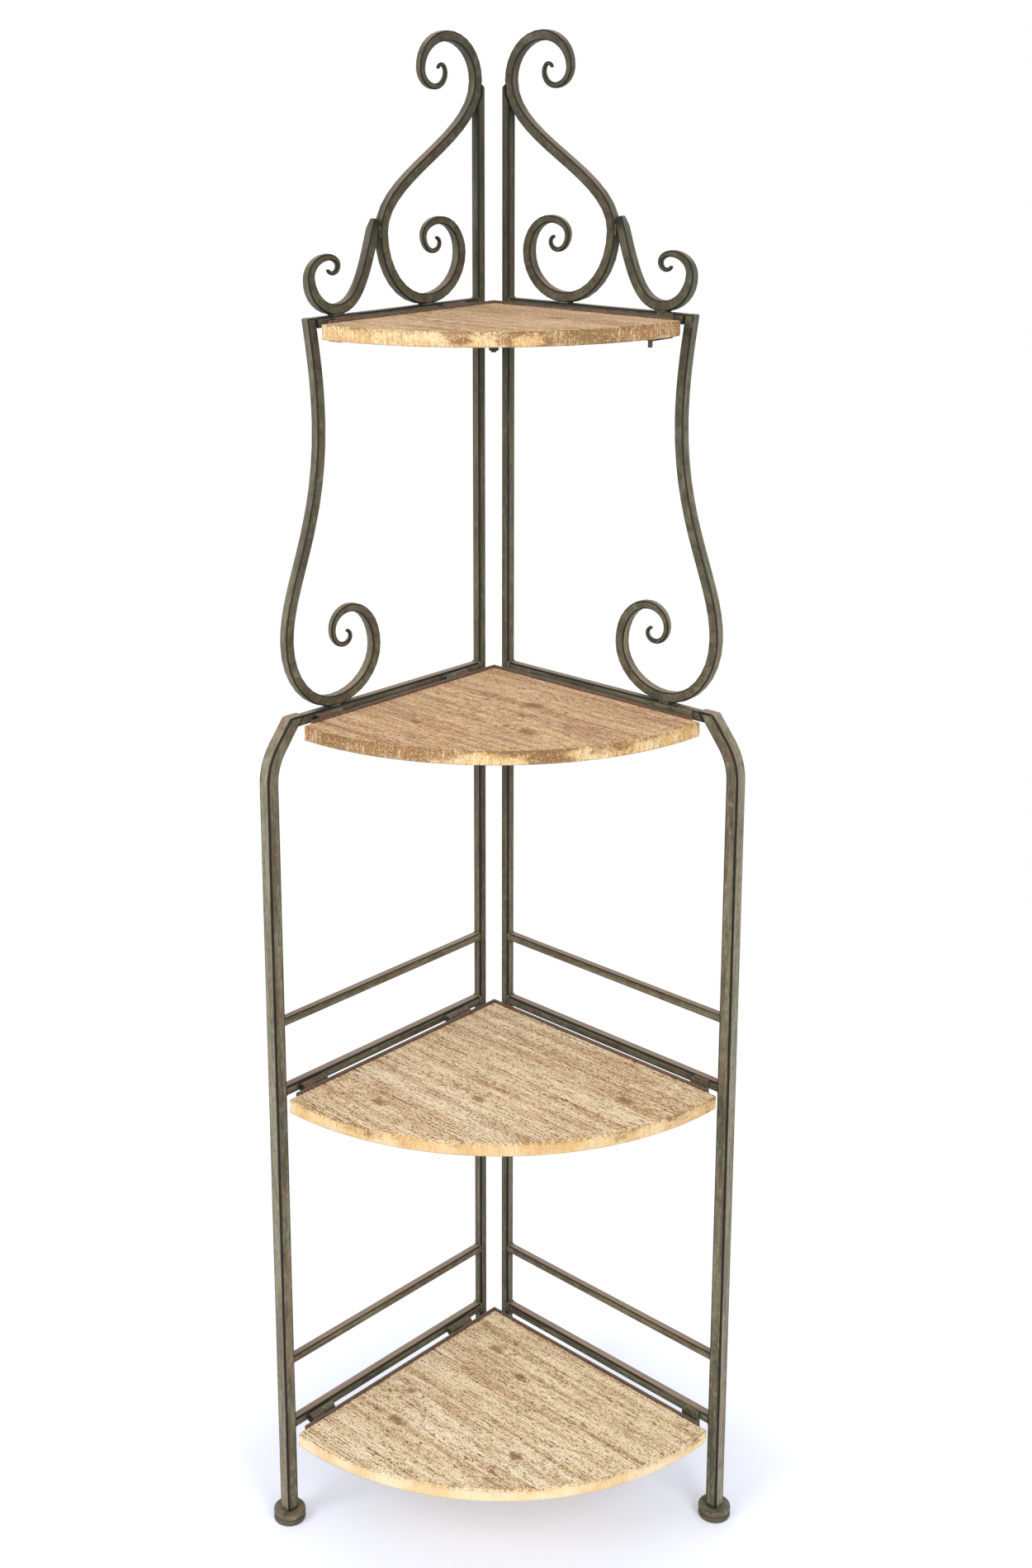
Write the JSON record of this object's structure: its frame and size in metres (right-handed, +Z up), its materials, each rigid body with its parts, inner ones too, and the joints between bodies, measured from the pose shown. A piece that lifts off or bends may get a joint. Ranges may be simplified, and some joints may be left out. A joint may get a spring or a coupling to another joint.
{
  "type": "corner shelf unit",
  "caption": "Folding corner shelf unit: two scrolled square-bar side frames hinged at the rear corner, with quarter-round wooden shelves that fold up.",
  "frame": {"origin": "middle of the footprint, on the floor", "axes": "+Z up; the right frame's rails run along +X and the left frame's along -Y from the rear corner, so the open front faces between +X and -Y"},
  "size_m": [0.314, 0.314, 1.3638],
  "materials": {
    "paint": "mottled olive and brown paint, satin, rubbed",
    "edging": "dark brown mottled paint, satin",
    "wood": "whitewashed, wire-brushed softwood",
    "steel": "dark painted steel",
    "pad": "dark olive painted steel, satin"
  },
  "bodies": {
    "left_frame": {"left_rear_post": "paint", "left_front_leg": "paint", "left_rail_1": "paint", "left_rail_2": "paint", "left_rail_3": "paint", "left_rail_4": "paint", "left_guard_3": "paint", "left_guard_4": "paint", "left_side_scroll": "paint", "left_crest_scroll": "paint", "left_small_scroll": "paint", "left_foot_disc": "paint", "left_foot_pad": "pad", "shelf_1_rear_barrel": "paint", "shelf_1_front_barrel": "paint", "shelf_1_rear_pin": "steel", "shelf_1_front_pin": "steel", "shelf_2_rear_barrel": "paint", "shelf_2_front_barrel": "paint", "shelf_2_rear_pin": "steel", "shelf_2_front_pin": "steel", "shelf_3_rear_barrel": "paint", "shelf_3_front_barrel": "paint", "shelf_3_rear_pin": "steel", "shelf_3_front_pin": "steel", "shelf_4_rear_barrel": "paint", "shelf_4_front_barrel": "paint", "shelf_4_rear_pin": "steel", "shelf_4_front_pin": "steel", "upper_left_lug": "paint", "upper_hinge_bolt": "steel", "lower_left_lug": "paint", "lower_hinge_bolt": "steel"},
    "right_frame": {"right_rear_post": "paint", "right_front_leg": "paint", "right_rail_1": "paint", "right_rail_2": "paint", "right_rail_3": "paint", "right_rail_4": "paint", "right_guard_3": "paint", "right_guard_4": "paint", "right_side_scroll": "paint", "right_crest_scroll": "paint", "right_small_scroll": "paint", "right_foot_disc": "paint", "right_foot_pad": "pad", "shelf_1_catch": "paint", "shelf_2_catch": "paint", "shelf_3_catch": "paint", "shelf_4_catch": "paint", "upper_right_lug": "paint", "lower_right_lug": "paint"},
    "shelf_1": {"shelf_1_board": "wood", "shelf_1_frame": "edging"},
    "shelf_2": {"shelf_2_board": "wood", "shelf_2_frame": "edging"},
    "shelf_3": {"shelf_3_board": "wood", "shelf_3_frame": "edging"},
    "shelf_4": {"shelf_4_board": "wood", "shelf_4_frame": "edging"}
  },
  "joints": [
    {"name": "right_frame_swing", "type": "hinge", "parent": "left_frame", "child": "right_frame", "pos_m": [-0.1285, 0.1285, 0.1], "axis": [0, 0, 1], "range_deg": [0, 75]},
    {"name": "shelf_1_fold", "type": "hinge", "parent": "left_frame", "child": "shelf_1", "pos_m": [-0.133, 0, 1.126], "axis": [0, -1, 0], "range_deg": [0, 90]},
    {"name": "shelf_2_fold", "type": "hinge", "parent": "left_frame", "child": "shelf_2", "pos_m": [-0.133, 0, 0.784], "axis": [0, -1, 0], "range_deg": [0, 90]},
    {"name": "shelf_3_fold", "type": "hinge", "parent": "left_frame", "child": "shelf_3", "pos_m": [-0.133, 0, 0.442], "axis": [0, -1, 0], "range_deg": [0, 90]},
    {"name": "shelf_4_fold", "type": "hinge", "parent": "left_frame", "child": "shelf_4", "pos_m": [-0.133, 0, 0.1], "axis": [0, -1, 0], "range_deg": [0, 90]}
  ]
}
